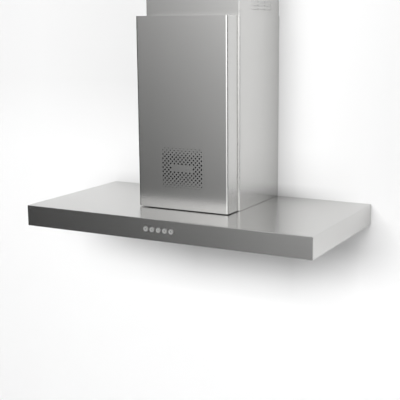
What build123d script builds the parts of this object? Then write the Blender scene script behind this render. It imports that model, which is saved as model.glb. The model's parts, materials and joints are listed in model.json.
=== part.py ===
from build123d import *
import os
from math import cos, radians, sin

# Wall mount range hood: a flat canopy under a telescopic chimney with a perforated front cover.
# Lengths are in millimetres. X points to the right seen from the front, Y to the wall and Z up.
# The origin lies on the wall, in the middle of the width, level with the canopy's lower edge.

os.makedirs("parts", exist_ok=True)

# Canopy
canopy_width = 898.0
canopy_depth = 460.0
canopy_height = 60.0
canopy_bend = 1.5
sheet = 1.0
rim_width = 14.0
air_margin = 25.0
air_front = 22.0
air_setback = 42.0
air_corner = 10.0

# Tray under the canopy and the welded tabs that it hangs on
tray_recess = 8.0
tray_gap = 0.4
tab_width = 24.0
tab_reach = 18.0
tab_span_x = 560.0
tab_span_y = 300.0
filter_wall = 10.0

# Chimney, lower and upper section
chimney_width = 300.0
chimney_depth = 264.0
chimney_height = 542.0
chimney_sheet = 0.8
chimney_bend = 4.0
chimney_return = 12.0
chimney_foot = 14.0
foot_bend = 1.4
section_gap = 0.4
upper_length = 400.0
upper_reach = 138.0
vent_length = 40.0
vent_width = 4.0
vent_pitch_y = 45.0
vent_pitch_z = 10.0
vent_columns = 3
vent_rows = 7
vent_setback = 123.0
vent_drop = 90.0
lip_drop = 3.0
lip_depth = 1.0
lip_thick = 1.2
lip_root = 0.5

# Front cover with its perforated square, whose holes grow smaller in the rows at the top and bottom
cover_inset = 5.2
cover_depth = 63.0
cover_bend = 6.0
cover_lift = 2.5
cover_flange = 14.0
perf_hole = 5.0
perf_fade = 0.65
perf_full_rows = 11
perf_step_x = 6.2
perf_step_z = 6.2
perf_columns = 21
perf_rows = 19
perf_rise = 121.0
bare_columns = 11
bare_rows = 3
baffle_margin = 13.0
baffle_corner = 5.0
baffle_thick = 2.0
baffle_gap = 8.0
baffle_post = 4.0

# Back frame on the wall and upper bracket
frame_width = 240.0
frame_height = 370.0
frame_sheet = 1.5
frame_flange = 25.0
frame_foot = 30.0
wall_hole = 8.4
wall_span_x = 190.0
wall_span_z = 180.0
wall_rise = 150.0
bracket_height = 35.0
bracket_ear = 40.0
bracket_drop = 5.0
bracket_span = 200.0

# Grease filters and their latches
filter_width = 300.0
filter_strip = 116.0
filter_thick = 9.0
filter_between = 16.0
filter_setback = 86.0
filter_gap = 0.6
filter_bar = 10.0
filter_lip = 3.0
filter_corner = 3.0
core_gap = 0.3
core_pitch = 10.0
core_rise = 4.0
core_sheet = 3.0
hinge_gap = 2.0
hinge_reach = 5.5
hinge_radius = 2.0
hinge_strip = 18.0
hinge_roll = 30.0
hinge_leaf = 1.5
hinge_span = 170.0
hinge_lift = 0.2
notch_gap = 1.0
latch_width = 47.0
latch_depth = 23.0
latch_height = 6.5
latch_travel = 6.0
latch_gap = 0.3
latch_wall = 1.5
latch_front = 3.0
tongue_width = 16.0
tongue_height = 2.5
tongue_rise = 2.0
grip_width = 30.0
grip_depth = 3.0
grip_drop = 5.0
rod_radius = 2.0
rod_length = 10.0

# Lamps
lamp_side = 149.0
lamp_inset = 58.0
lamp_flange = 34.0
lamp_neck = 29.7
lamp_window = 26.0
lamp_rim = 1.5
lamp_neck_height = 6.0
lens_thick = 2.0
lens_gap = 0.2
lens_raise = 0.5
lamp_hole_gap = 0.3
lamp_body_radius = 29.0
lamp_body_height = 16.0
lamp_fin = 2.0
lamp_fin_count = 9

# Push buttons
button_count = 5
button_land = 1.0
button_height = 30.5
button_radius = 7.7
button_proud = 2.0
button_gap = 0.3
button_collar_reach = 1.5
button_collar_thick = 2.0
button_travel = 2.0
button_round = 0.8
button_stem = 3.0
button_dish = 0.4
button_dish_radius = 5.4

# Housing behind the buttons
housing_margin = 18.0
housing_edge = 5.5
housing_floor = 2.5
housing_wall = 2.0
housing_depth = 17.0
board_thick = 1.6
switch_size = 6.0
switch_body = 4.3
switch_plunger = 1.75

# Blower housing
scroll_half = 65.0
scroll_wall = 2.0
scroll_gap = 10.0
scroll_growth = 10.0
scroll_rear = 8.0
scroll_rise = 145.0
outlet_rise = 285.0
inlet_margin = 2.0
inlet_lip = 3.0
inlet_lip_reach = 5.0
lug_radius = 6.0
lug_length = 8.0
lug_sink = 2.0
mount_radius = 8.0
mount_span_x = 90.0
mount_span_z = 90.0
mount_rise = 220.0

# Fan wheel, motor and its bracket
wheel_radius = 86.0
wheel_eye = 70.0
wheel_half = 58.0
wheel_ring = 7.0
wheel_ring_thick = 3.0
wheel_disc = 2.0
blade_count = 36
blade_thick = 1.2
blade_turn = 9.0
blade_sagitta = 4.0
hub_radius = 12.0
hub_front = 16.0
hub_rear = 6.0
shaft_radius = 4.0
shaft_front = 20.0
shaft_depth = 34.0
hub_gap = 0.03
running_gap = 0.05
motor_radius = 40.0
motor_band = 42.0
motor_length = 62.0
motor_end = 6.0
motor_end_radius = 35.0
motor_band_width = 24.0
bush_radius = 7.0
bush_length = 7.0
bush_margin = 2.0
bush_count = 3
arm_width = 14.0
arm_thick = 2.0
arm_hub = 30.0

# Outlet with its non-return flaps
spigot_radius = 74.5
spigot_wall = 2.0
spigot_setback = 88.0
spigot_rise = 335.0
spigot_length = 65.0
collar_flange = 2.0
collar_margin = 8.0
collar_rear = 4.0
flap_gap = 1.0
flap_thick = 1.2
flap_offset = 3.6
flap_start = 2.2
flap_knuckle = 3.0
flap_knuckle_length = 120.0
flap_height = 8.0
flap_stop = 3.0
flap_stop_thick = 1.5
flap_stop_gap = 0.3
pin_radius = 1.5
pin_inset = 0.7

# Electrics
box_width = 33.0
box_depth = 68.0
box_height = 90.0
box_wall = 2.0
box_gap = 1.5
box_rise = 275.0
lid_thick = 2.0
lid_lip = 3.0
lid_gap = 0.3
gland_setback = 40.0
gland_hole = 8.0
gland_bore = 4.0
gland_flats = 20.0
gland_collar = 5.0
gland_neck = 17.0
gland_cap = 9.0
capacitor_radius = 16.0
capacitor_length = 60.0
capacitor_gap = 4.5
capacitor_rise = 325.0
capacitor_round = 2.0

# Screws
screw_radius = 1.9
screw_hole = 2.1
screw_head = 3.8
screw_head_height = 2.0
screw_length = 6.0
recess_length = 4.2
recess_width = 1.1
recess_depth = 1.2
head_taper = 15.0
tip_gap = 0.3
chimney_screw_span_y = 180.0
cover_screw_base = 35.0
cover_screw_rise = 140.0
frame_screw_span = 200.0

# Levels and positions that follow from the sizes above
canopy_top = canopy_height
canopy_inner_front = -(canopy_depth - sheet)
tray_bottom = tray_recess
tray_top = tray_bottom + sheet
air_width = chimney_width - 2 * air_margin
air_depth = chimney_depth - air_setback - air_front
chimney_top = canopy_top + chimney_height
chimney_front = -chimney_depth
cover_width = chimney_width - 2 * cover_inset
cover_front = chimney_front - cover_depth
cover_bottom = canopy_top + cover_lift
perf_z = canopy_top + perf_rise
upper_inset = chimney_sheet + section_gap
upper_top = chimney_top + upper_reach
upper_bottom = upper_top - upper_length
upper_width = chimney_width - 2 * upper_inset
upper_front = chimney_front + upper_inset
upper_rear = -upper_inset
upper_bend = chimney_bend - upper_inset
vent_z = upper_top - vent_drop
wall_z = canopy_top + wall_rise
filter_depth = canopy_depth - filter_setback - filter_strip
filter_pitch = filter_width + filter_between
filter_rear = -filter_setback
filter_front = filter_rear - filter_depth
filter_bottom = tray_bottom
opening_width = filter_width + 2 * filter_gap
opening_rear = filter_rear + hinge_gap
opening_front = filter_front - filter_gap
hinge_y = filter_rear + hinge_reach
hinge_z = tray_top + hinge_radius + hinge_lift
lamp_y = -(canopy_depth - lamp_inset)
lamp_span = canopy_width - 2 * lamp_side
button_collar = button_radius + button_collar_reach
button_pitch = 2 * (button_collar + button_gap) + button_land
housing_width = (button_count - 1) * button_pitch + 2 * housing_margin
housing_height = 2 * (button_collar + button_gap + housing_edge)
scroll_radius = wheel_radius + scroll_gap
scroll_z = canopy_top + scroll_rise
fan_y = -scroll_rear - scroll_radius - 3 * scroll_growth
wheel_y = fan_y + scroll_growth / 2
wheel_z = scroll_z
outlet_z = canopy_top + outlet_rise
inlet_radius = wheel_eye + inlet_margin
mount_z = canopy_top + mount_rise
throat_front = fan_y
throat_rear = -scroll_rear
bush_circle = inlet_radius + inlet_lip + bush_radius + bush_margin
motor_rear = -(scroll_half + bush_length)
motor_front = motor_rear + motor_length
spigot_y = -spigot_setback
spigot_z = canopy_top + spigot_rise
spigot_inner = spigot_radius - spigot_wall
pin_z = spigot_z + flap_height
box_x = -(frame_width / 2 - frame_sheet - box_gap - box_width / 2)
box_z = canopy_top + box_rise
box_top = box_z + box_height
box_rear = -frame_sheet
box_front = box_rear - box_depth
capacitor_x = frame_width / 2 - frame_sheet - capacitor_gap - capacitor_radius
capacitor_z = canopy_top + capacitor_rise


def save(builder, name):
    builder.part.label = name
    export_step(builder.part, f"parts/{name}.step")


# Places of the screws that join two pieces
tab_wall_x = canopy_width / 2 - sheet - tab_reach / 2
tab_wall_rear = -(sheet + tab_reach / 2)
tab_wall_front = -(canopy_depth - sheet - tab_reach / 2)
side_tabs = [(s * tab_wall_x, -canopy_depth / 2 + t * tab_span_y / 2) for s in (-1, 1) for t in (-1, 1)]
long_tabs = [(s * tab_span_x / 2, y) for s in (-1, 1) for y in (tab_wall_rear, tab_wall_front)]
foot_line_x = chimney_width / 2 - chimney_sheet - chimney_foot / 2
foot_middle = -chimney_depth / 2
foot_points = [
    (s * foot_line_x, foot_middle + t * chimney_screw_span_y / 2) for s in (-1, 1) for t in (-1, 1)
]
frame_points = [(s * frame_screw_span / 2, -frame_foot / 2) for s in (-1, 1)]
cover_line_x = cover_width / 2 - sheet - cover_flange / 2
cover_screw_z = canopy_top + cover_screw_base
cover_points = [(s * cover_line_x, cover_screw_z + t * cover_screw_rise) for s in (-1, 1) for t in (0, 1)]
mount_points = [
    (s * mount_span_x / 2, mount_z + t * mount_span_z / 2) for s in (-1, 1) for t in (-1, 1)
]
bush_points = [
    (
        wheel_y + bush_circle * cos(radians(90 + i * 360 / bush_count)),
        wheel_z + bush_circle * sin(radians(90 + i * 360 / bush_count)),
    )
    for i in range(bush_count)
]
bracket_base = upper_top - bracket_drop - bracket_height
bracket_screw = (-bracket_ear / 2, bracket_base + bracket_height / 2)

# Canopy: one folded sheet, open below, with a rim, tabs, the air opening and the button holes
with BuildPart() as canopy_shell:
    with BuildSketch():
        with Locations((0, -canopy_depth / 2)):
            Rectangle(canopy_width, canopy_depth)
    extrude(amount=canopy_height)
    fillet(canopy_shell.edges().filter_by(Axis.Z), canopy_bend)
    fillet(canopy_shell.faces().sort_by(Axis.Z)[-1].edges(), canopy_bend)
    offset(amount=-sheet, openings=canopy_shell.faces().sort_by(Axis.Z)[0])
    with BuildSketch():
        with Locations((0, -canopy_depth / 2)):
            RectangleRounded(canopy_width, canopy_depth, canopy_bend)
            Rectangle(canopy_width - 2 * rim_width, canopy_depth - 2 * rim_width, mode=Mode.SUBTRACT)
    extrude(amount=sheet)
    with BuildSketch(Plane.XY.offset(tray_top)):
        with Locations(*[(x + (sheet if x > 0 else -sheet) / 2, y) for x, y in side_tabs]):
            Rectangle(tab_reach + sheet, tab_width)
        with Locations(*[(x, y + (sheet if y > -canopy_depth / 2 else -sheet) / 2) for x, y in long_tabs]):
            Rectangle(tab_width, tab_reach + sheet)
    extrude(amount=sheet)
    with BuildSketch(Plane.XY.offset(tray_top)):
        with Locations(*side_tabs, *long_tabs):
            Circle(screw_hole)
    extrude(amount=sheet, mode=Mode.SUBTRACT)
    with BuildSketch(Plane.XY.offset(canopy_top)):
        with Locations((0, -air_setback - air_depth / 2)):
            RectangleRounded(air_width, air_depth, air_corner)
        with Locations(*foot_points, *frame_points):
            Circle(screw_hole)
    extrude(amount=-sheet, mode=Mode.SUBTRACT)
    with BuildSketch(Plane.XZ.offset(canopy_depth)):
        with Locations((0, button_height)):
            with GridLocations(button_pitch, 0, button_count, 1):
                Circle(button_radius + button_gap)
    extrude(amount=-sheet, mode=Mode.SUBTRACT)
save(canopy_shell, "canopy_shell")

# Tray: the underside panel with an upturned wall round each filter opening and a hole for each lamp
tray_width = canopy_width - 2 * (sheet + tray_gap)
tray_depth = canopy_depth - 2 * (sheet + tray_gap)
opening_middle = (opening_rear + opening_front) / 2
opening_depth = opening_rear - opening_front
hinge_places = [
    (side * filter_pitch / 2 + t * hinge_span / 2, opening_rear) for side in (-1, 1) for t in (-1, 1)
]
with BuildPart() as filter_tray:
    with BuildSketch(Plane.XY.offset(sheet)):
        with Locations((0, -canopy_depth / 2)):
            Rectangle(tray_width, tray_depth)
    extrude(amount=tray_top - sheet)
    offset(amount=-sheet, openings=filter_tray.faces().sort_by(Axis.Z)[0], kind=Kind.INTERSECTION)
    with BuildSketch(Plane.XY.offset(tray_bottom)):
        with Locations((0, opening_middle)):
            with GridLocations(filter_pitch, 0, 2, 1):
                Rectangle(opening_width + 2 * sheet, opening_depth + 2 * sheet)
    extrude(amount=sheet + filter_wall)
    with BuildSketch(Plane.XY.offset(tray_bottom)):
        with Locations((0, opening_middle)):
            with GridLocations(filter_pitch, 0, 2, 1):
                Rectangle(opening_width, opening_depth)
        with Locations(*hinge_places):
            Rectangle(hinge_strip + 2 * notch_gap, 2 * (hinge_reach + hinge_radius))
        with Locations(*[(s * lamp_span / 2, lamp_y) for s in (-1, 1)]):
            Circle(lamp_neck + lamp_hole_gap)
        with Locations(*side_tabs, *long_tabs):
            Circle(screw_hole)
    extrude(amount=sheet + filter_wall, mode=Mode.SUBTRACT)
save(filter_tray, "filter_tray")

# Lower chimney: a sheet bent round the blower, with returns at the wall and a foot on the canopy
with BuildPart() as lower_chimney:
    with BuildSketch(Plane.XY.offset(canopy_top)) as section:
        with Locations((0, -chimney_depth / 2)):
            Rectangle(chimney_width, chimney_depth)
        fillet(section.vertices().group_by(Axis.Y)[0], chimney_bend)
        offset(section.sketch, amount=-chimney_sheet, mode=Mode.SUBTRACT)
        Rectangle(chimney_width - 2 * chimney_return, 4 * chimney_sheet, mode=Mode.SUBTRACT)
    extrude(amount=chimney_height)
    with BuildSketch(Plane.XY.offset(canopy_top)) as foot:
        with Locations((0, -chimney_depth / 2)):
            Rectangle(chimney_width, chimney_depth)
        fillet(foot.vertices().group_by(Axis.Y)[0], chimney_bend)
        with Locations((0, -(chimney_depth - chimney_sheet - chimney_foot) / 2)):
            Rectangle(
                chimney_width - 2 * (chimney_sheet + chimney_foot),
                chimney_depth - chimney_sheet - chimney_foot,
                mode=Mode.SUBTRACT,
            )
        with Locations(*foot_points):
            Circle(screw_hole, mode=Mode.SUBTRACT)
    extrude(amount=chimney_sheet)
    low_edges = lower_chimney.edges().group_by(Axis.Z)[0]
    side_edges = low_edges.filter_by(lambda e: abs(e.center().X) > chimney_width / 2 - chimney_bend)
    front_edges = low_edges.filter_by(lambda e: e.center().Y < chimney_front + chimney_sheet / 2)
    fillet(side_edges + front_edges, foot_bend)
    with BuildSketch(Plane.XZ.offset(chimney_depth)):
        with Locations(*cover_points):
            Circle(screw_hole)
    extrude(amount=-chimney_sheet, mode=Mode.SUBTRACT)
save(lower_chimney, "lower_chimney")

# Upper chimney: slides inside the lower section and has vent slots under bent lips in both sides
lip_length = vent_length - vent_width
with BuildPart() as upper_chimney:
    with BuildSketch(Plane.XY.offset(upper_bottom)) as section:
        with Locations((0, (upper_front + upper_rear) / 2)):
            Rectangle(upper_width, upper_rear - upper_front)
        fillet(section.vertices().group_by(Axis.Y)[0], upper_bend)
        offset(section.sketch, amount=-chimney_sheet, mode=Mode.SUBTRACT)
        with Locations((0, upper_rear)):
            Rectangle(upper_width - 2 * chimney_sheet, 4 * chimney_sheet, mode=Mode.SUBTRACT)
    extrude(amount=upper_length)
    with BuildSketch(Plane.YZ):
        with Locations((-vent_setback, vent_z)):
            with GridLocations(vent_pitch_y, vent_pitch_z, vent_columns, vent_rows):
                SlotOverall(vent_length, vent_width)
        with Locations(bracket_screw):
            Circle(screw_hole)
    extrude(amount=upper_width, both=True, mode=Mode.SUBTRACT)
    for side in (-1, 1):
        face_x = side * upper_width / 2
        for column in range(vent_columns):
            lip_y = vent_setback + (column - (vent_columns - 1) / 2) * vent_pitch_y - lip_length / 2
            with BuildSketch(Plane.XZ.offset(lip_y)):
                for row in range(vent_rows):
                    high_z = vent_z + (row - (vent_rows - 1) / 2) * vent_pitch_z + vent_width / 2
                    with BuildLine():
                        Polyline(
                            (face_x, high_z + lip_root),
                            (face_x, high_z),
                            (face_x - side * lip_depth, high_z - lip_drop),
                            (face_x - side * (lip_depth + lip_thick), high_z - lip_drop),
                            (face_x - side * lip_thick, high_z),
                            (face_x - side * lip_thick, high_z + lip_root),
                            close=True,
                        )
                    make_face()
            extrude(amount=lip_length)
save(upper_chimney, "upper_chimney")

# Upper bracket: a strip on the wall with two ears that hold the upper section
ear_half = upper_width / 2 - chimney_sheet
with BuildPart() as upper_bracket:
    with BuildSketch(Plane.XY.offset(bracket_base)):
        with Locations((0, -bracket_ear / 2)):
            Rectangle(2 * ear_half, bracket_ear)
        with Locations((0, -bracket_ear / 2 - frame_sheet)):
            Rectangle(2 * (ear_half - frame_sheet), bracket_ear, mode=Mode.SUBTRACT)
    extrude(amount=bracket_height)
    with BuildSketch(Plane.YZ):
        with Locations(bracket_screw):
            Circle(screw_hole)
    extrude(amount=upper_width, both=True, mode=Mode.SUBTRACT)
    with BuildSketch(Plane.XZ):
        with Locations((0, bracket_base + bracket_height / 2)):
            with GridLocations(bracket_span, 0, 2, 1):
                Circle(wall_hole / 2)
    extrude(amount=frame_sheet, mode=Mode.SUBTRACT)
save(upper_bracket, "upper_bracket")

# Front cover: a shallow box, open at the back, with the staggered perforations and a bare strip in them
column_reach = perf_columns // 2
row_reach = perf_rows // 2


def row_holes(row):
    columns = [c for c in range(-column_reach, column_reach + 1) if (c + row) % 2 == 0]
    if abs(row) <= bare_rows // 2:
        columns = [c for c in columns if abs(c) > bare_columns // 2]
    return [(c * perf_step_x, perf_z + row * perf_step_z) for c in columns]


with BuildPart() as front_cover:
    with BuildSketch(Plane.XY.offset(cover_bottom)) as plan:
        with Locations((0, (cover_front + chimney_front) / 2)):
            Rectangle(cover_width, cover_depth)
        fillet(plan.vertices().group_by(Axis.Y)[0], cover_bend)
    extrude(amount=chimney_top - cover_bottom)
    offset(amount=-sheet, openings=front_cover.faces().sort_by(Axis.Y)[-1])
    with BuildSketch(Plane.XZ.offset(chimney_depth)):
        with Locations((0, (cover_bottom + chimney_top) / 2)):
            Rectangle(cover_width, chimney_top - cover_bottom)
            Rectangle(
                cover_width - 2 * (sheet + cover_flange),
                chimney_top - cover_bottom - 2 * (sheet + cover_flange),
                mode=Mode.SUBTRACT,
            )
        with Locations(*cover_points):
            Circle(screw_hole, mode=Mode.SUBTRACT)
    extrude(amount=sheet)
    with BuildSketch(Plane.XZ.offset(-cover_front)):
        for row in range(-row_reach, row_reach + 1):
            smaller = perf_fade * max(0, abs(row) - perf_full_rows // 2)
            with Locations(*row_holes(row)):
                Circle((perf_hole - smaller) / 2)
    extrude(amount=-sheet, mode=Mode.SUBTRACT)
save(front_cover, "front_cover")

# Baffle: a dark plate behind the perforations that stands on four posts inside the cover
baffle_width = (perf_columns - 1) * perf_step_x + 2 * baffle_margin
baffle_height = (perf_rows - 1) * perf_step_z + 2 * baffle_margin
cover_inside = cover_front + sheet
with BuildPart() as cover_baffle:
    with BuildSketch(Plane.XZ.offset(-cover_inside - baffle_gap)):
        with Locations((0, perf_z)):
            RectangleRounded(baffle_width, baffle_height, baffle_corner)
    extrude(amount=-baffle_thick)
    with BuildSketch(Plane.XZ.offset(-cover_inside)):
        with Locations((0, perf_z)):
            with GridLocations(baffle_width - 2 * baffle_corner, baffle_height - 2 * baffle_corner, 2, 2):
                Circle(baffle_post)
    extrude(amount=-baffle_gap)
save(cover_baffle, "cover_baffle")

# Back frame: the plate that hangs the hood on four wall bolts and carries the blower
with BuildPart() as back_frame:
    with BuildSketch(Plane.XY.offset(canopy_top)):
        with Locations((0, -frame_flange / 2)):
            Rectangle(frame_width, frame_flange)
        with Locations((0, -frame_flange / 2 - frame_sheet)):
            Rectangle(frame_width - 2 * frame_sheet, frame_flange, mode=Mode.SUBTRACT)
    extrude(amount=frame_height)
    with BuildSketch(Plane.XY.offset(canopy_top)):
        with Locations((0, -frame_foot / 2)):
            Rectangle(frame_width, frame_foot)
        with Locations(*frame_points):
            Circle(screw_hole, mode=Mode.SUBTRACT)
    extrude(amount=frame_sheet)
    with BuildSketch(Plane.XZ):
        with Locations((0, wall_z)):
            with GridLocations(wall_span_x, wall_span_z, 2, 2):
                Circle(wall_hole / 2)
        with Locations(*mount_points):
            Circle(screw_hole)
    extrude(amount=frame_sheet, mode=Mode.SUBTRACT)
save(back_frame, "back_frame")


# Grease filters: a frame with a rolled hinge edge, a pleated core and a spring latch
bay_width = latch_width + 2 * latch_gap
bay_depth = latch_depth + latch_travel + 2 * latch_gap
bay_front = filter_front + latch_front
bay_rear = bay_front + bay_depth
filter_middle = (filter_rear + filter_front) / 2
core_bottom = filter_bottom + sheet
latch_bottom = filter_bottom + latch_gap
tongue_bottom = filter_bottom + tongue_rise
rod_z = filter_bottom + filter_thick / 2
core_width = filter_width - 2 * (filter_bar + core_gap)
core_depth = filter_depth - 2 * (filter_bar + core_gap)
core_folds = int(core_width // core_pitch)


def make_filter(side, word):
    centre_x = side * filter_pitch / 2
    with BuildPart() as frame:
        with BuildSketch(Plane.XY.offset(filter_bottom)):
            with Locations((centre_x, filter_middle)):
                RectangleRounded(filter_width, filter_depth, filter_corner)
                Rectangle(
                    filter_width - 2 * filter_bar, filter_depth - 2 * filter_bar, mode=Mode.SUBTRACT
                )
        extrude(amount=filter_thick)
        with BuildSketch(Plane.XY.offset(filter_bottom)):
            with Locations((centre_x, filter_middle)):
                Rectangle(filter_width - filter_bar, filter_depth - filter_bar)
                Rectangle(
                    filter_width - 2 * (filter_bar + filter_lip),
                    filter_depth - 2 * (filter_bar + filter_lip),
                    mode=Mode.SUBTRACT,
                )
        extrude(amount=sheet)
        with BuildSketch(Plane.XY.offset(filter_bottom)):
            with Locations((centre_x, (bay_front + bay_rear + latch_wall) / 2)):
                Rectangle(bay_width + 2 * latch_wall, bay_depth + latch_wall)
        extrude(amount=filter_thick)
        with BuildSketch(Plane.XY.offset(filter_bottom)):
            with Locations((centre_x, (bay_front + bay_rear) / 2)):
                Rectangle(bay_width, bay_depth)
        extrude(amount=filter_thick, mode=Mode.SUBTRACT)
        with BuildSketch(Plane.XZ.offset(-filter_front)):
            with Locations((centre_x, tongue_bottom + tongue_height / 2)):
                Rectangle(tongue_width + 2 * latch_gap, tongue_height + 2 * latch_gap)
        extrude(amount=-latch_front, mode=Mode.SUBTRACT)
        with BuildSketch(Plane.XZ.offset(-bay_rear)):
            with Locations((centre_x, rod_z)):
                Circle(rod_radius + latch_gap)
        extrude(amount=-latch_wall, mode=Mode.SUBTRACT)
        with BuildSketch(Plane.XY.offset(hinge_z - hinge_leaf / 2)):
            with Locations((centre_x, (filter_rear + hinge_y) / 2)):
                with GridLocations(hinge_span, 0, 2, 1):
                    Rectangle(hinge_strip, hinge_reach)
        extrude(amount=hinge_leaf)
        with BuildSketch(Plane.YZ.offset(centre_x - hinge_roll / 2)):
            with Locations((hinge_y, hinge_z)):
                Circle(hinge_radius)
        rolls = extrude(amount=hinge_roll, mode=Mode.PRIVATE)
        with Locations((-hinge_span / 2, 0, 0), (hinge_span / 2, 0, 0)):
            add(rolls)
    save(frame, f"filter_frame_{word}")

    with BuildPart() as core:
        with BuildSketch(Plane.XZ.offset(-filter_middle - core_depth / 2)):
            with BuildLine():
                first_x = centre_x - core_width / 2
                step = core_width / (2 * core_folds)
                low = [
                    (first_x + i * step, core_bottom + (i % 2) * core_rise) for i in range(2 * core_folds + 1)
                ]
                high = [(x, z + core_sheet) for x, z in reversed(low)]
                Polyline(*low, *high, close=True)
            make_face()
        extrude(amount=core_depth)
        with BuildSketch(Plane.XY.offset(filter_bottom)):
            with Locations((centre_x, (filter_front + bay_rear + latch_wall + rod_length) / 2)):
                Rectangle(
                    bay_width + 2 * (latch_wall + core_gap),
                    bay_rear + latch_wall + rod_length - filter_front,
                )
        extrude(amount=filter_thick, mode=Mode.SUBTRACT)
    save(core, f"filter_core_{word}")

    latch_y = bay_front + latch_gap + latch_depth / 2
    with BuildPart() as latch:
        with BuildSketch(Plane.XY.offset(latch_bottom)):
            with Locations((centre_x, latch_y)):
                Rectangle(latch_width, latch_depth)
        extrude(amount=latch_height)
        with BuildSketch(Plane.XY.offset(latch_bottom)):
            with Locations((centre_x, latch_y)):
                Rectangle(grip_width, grip_depth)
        extrude(amount=-grip_drop)
        fillet(latch.faces().sort_by(Axis.Z)[0].edges(), grip_depth / 4)
        with BuildSketch(Plane.XZ.offset(-bay_front - latch_gap)):
            with Locations((centre_x, tongue_bottom + tongue_height / 2)):
                Rectangle(tongue_width, tongue_height)
        extrude(amount=latch_front + latch_gap)
        with BuildSketch(Plane.XZ.offset(-bay_front - latch_gap - latch_depth)):
            with Locations((centre_x, rod_z)):
                Circle(rod_radius)
        extrude(amount=-(latch_travel + latch_gap + latch_wall + latch_gap))
    save(latch, f"filter_latch_{word}")


make_filter(-1, "left")
make_filter(1, "right")


# Lamps: a bezel ring clipped into the tray, a lens and a finned lamp body on top
lamp_bottom = tray_bottom - lamp_rim
lamp_neck_top = tray_top + lamp_neck_height


def make_lamp(side, word):
    place = (side * lamp_span / 2, lamp_y)
    with BuildPart() as bezel:
        with BuildSketch(Plane.XY.offset(lamp_bottom)):
            with Locations(place):
                Circle(lamp_flange)
        extrude(amount=lamp_rim)
        fillet(bezel.edges().sort_by(Axis.Z)[0], lamp_rim / 2)
        with BuildSketch(Plane.XY.offset(tray_bottom)):
            with Locations(place):
                Circle(lamp_neck)
        extrude(amount=lamp_neck_top - tray_bottom)
        with BuildSketch(Plane.XY.offset(lamp_bottom)):
            with Locations(place):
                Circle(lamp_window)
        extrude(amount=lamp_neck_top - lamp_bottom, mode=Mode.SUBTRACT)
    save(bezel, f"lamp_bezel_{word}")

    with BuildPart() as lens:
        with BuildSketch(Plane.XY.offset(lamp_bottom + lens_raise)):
            with Locations(place):
                Circle(lamp_window - lens_gap)
        extrude(amount=lens_thick)
    save(lens, f"lamp_lens_{word}")

    with BuildPart() as body:
        with BuildSketch(Plane.XY.offset(lamp_neck_top)):
            with Locations(place):
                Circle(lamp_body_radius)
        extrude(amount=lamp_body_height)
        with BuildSketch(Plane.XY.offset(lamp_neck_top + lamp_body_height)):
            with Locations(place):
                with GridLocations(2 * lamp_body_radius / lamp_fin_count, 0, lamp_fin_count, 1):
                    Rectangle(lamp_fin, 2 * lamp_body_radius)
        extrude(amount=-lamp_body_height / 2, mode=Mode.SUBTRACT)
    save(body, f"lamp_body_{word}")


make_lamp(-1, "left")
make_lamp(1, "right")

# Push buttons: a dished cap with a collar behind the sheet and a stem that reaches its switch
button_face = -canopy_depth - button_proud
collar_front = canopy_inner_front + button_gap
collar_rear_y = collar_front + button_collar_thick
floor_front = collar_rear_y + button_travel + button_gap
floor_rear = floor_front + housing_floor
board_front = canopy_inner_front + housing_depth
plunger_tip = board_front - switch_body - switch_plunger
stem_end = plunger_tip - button_travel - button_gap
button_words = ["light", "off", "low", "mid", "high"]
button_xs = [(i - (button_count - 1) / 2) * button_pitch for i in range(button_count)]
for word, x in zip(button_words, button_xs):
    with BuildPart() as button:
        with BuildSketch(Plane.XZ.offset(-button_face)):
            with Locations((x, button_height)):
                Circle(button_radius)
        extrude(amount=-(collar_rear_y - button_face))
        fillet(button.edges().sort_by(Axis.Y)[0], button_round)
        with BuildSketch(Plane.XZ.offset(-collar_front)):
            with Locations((x, button_height)):
                Circle(button_collar)
        extrude(amount=-button_collar_thick)
        with BuildSketch(Plane.XZ.offset(-collar_rear_y)):
            with Locations((x, button_height)):
                Circle(button_stem)
        extrude(amount=-(stem_end - collar_rear_y))
        with BuildSketch(Plane.XZ.offset(-button_face)):
            with Locations((x, button_height)):
                Circle(button_dish_radius)
        extrude(amount=-button_dish, mode=Mode.SUBTRACT)
    save(button, f"button_{word}")

# Housing that guides the buttons, with the board and its switches behind it
with BuildPart() as button_housing:
    with BuildSketch(Plane.XZ.offset(-canopy_inner_front)):
        with Locations((0, button_height)):
            Rectangle(housing_width, housing_height)
    extrude(amount=-housing_depth)
    with BuildSketch(Plane.XZ.offset(-floor_rear)):
        with Locations((0, button_height)):
            Rectangle(housing_width - 2 * housing_wall, housing_height - 2 * housing_wall)
    extrude(amount=-housing_depth, mode=Mode.SUBTRACT)
    with BuildSketch(Plane.XZ.offset(-canopy_inner_front)):
        with Locations((0, button_height)):
            with GridLocations(button_pitch, 0, button_count, 1):
                Circle(button_collar + button_gap)
    extrude(amount=-(floor_front - canopy_inner_front), mode=Mode.SUBTRACT)
    with BuildSketch(Plane.XZ.offset(-floor_front)):
        with Locations((0, button_height)):
            with GridLocations(button_pitch, 0, button_count, 1):
                Circle(button_stem + button_gap)
    extrude(amount=-housing_floor, mode=Mode.SUBTRACT)
save(button_housing, "button_housing")

with BuildPart() as control_board:
    with BuildSketch(Plane.XZ.offset(-board_front)):
        with Locations((0, button_height)):
            Rectangle(housing_width, housing_height)
    extrude(amount=-board_thick)
save(control_board, "control_board")

with BuildPart() as button_switches:
    with BuildSketch(Plane.XZ.offset(-board_front)):
        with Locations((0, button_height)):
            with GridLocations(button_pitch, 0, button_count, 1):
                Rectangle(switch_size, switch_size)
    extrude(amount=switch_body)
    with BuildSketch(Plane.XZ.offset(-board_front + switch_body)):
        with Locations((0, button_height)):
            with GridLocations(button_pitch, 0, button_count, 1):
                Circle(switch_plunger)
    extrude(amount=switch_plunger)
save(button_switches, "button_switches")

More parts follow.
